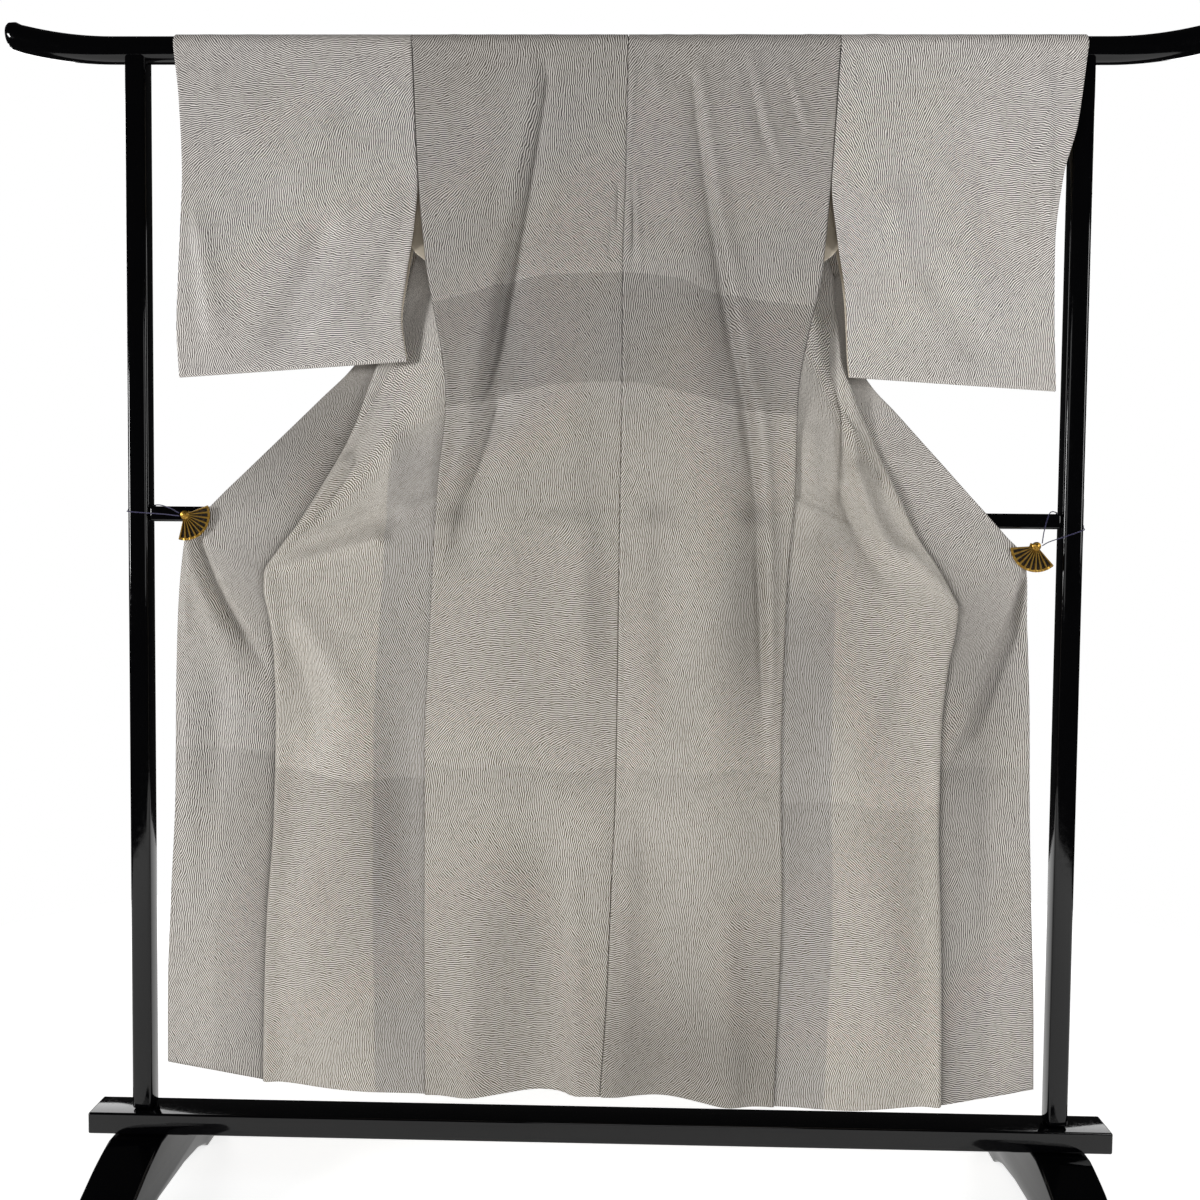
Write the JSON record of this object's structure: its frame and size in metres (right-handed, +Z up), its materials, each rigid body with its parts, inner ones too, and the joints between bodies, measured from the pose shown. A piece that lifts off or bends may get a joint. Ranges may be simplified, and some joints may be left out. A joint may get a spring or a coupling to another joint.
{
  "type": "silk kimono on a lacquered kimono stand",
  "caption": "Lined silk kimono hung back-outwards over the top rail of a black lacquered stand, its fronts drawn open to the posts by fan clips on cords.",
  "frame": {"origin": "on the floor under the middle of the stand", "axes": "+X along the top rail, to the right of someone who looks at the kimono's back; -Y is the side the kimono's back faces; +Z up"},
  "size_m": [1.7376, 0.43, 1.7423],
  "materials": {
    "silk": "fine crepe with short wavy white dashes on grey-beige, soft sheen",
    "lacquer": "high-gloss black lacquer on wood",
    "gilt": "gilt brass, lightly worn",
    "braid": "thin dark purple braided cord"
  },
  "bodies": {
    "root": {"body_left": "silk", "body_right": "silk", "clip_fan_left": "gilt", "clip_fan_right": "gilt", "clip_jaw_left": "gilt", "clip_jaw_right": "gilt", "collar": "silk", "cord_left": "braid", "cord_right": "braid", "foot_left": "lacquer", "foot_right": "lacquer", "mid_rail": "lacquer", "okumi_left": "silk", "okumi_right": "silk", "post_left": "lacquer", "post_right": "lacquer", "sleeve_left": "silk", "sleeve_right": "silk", "stretcher": "lacquer", "top_rail": "lacquer"}
  },
  "joints": []
}
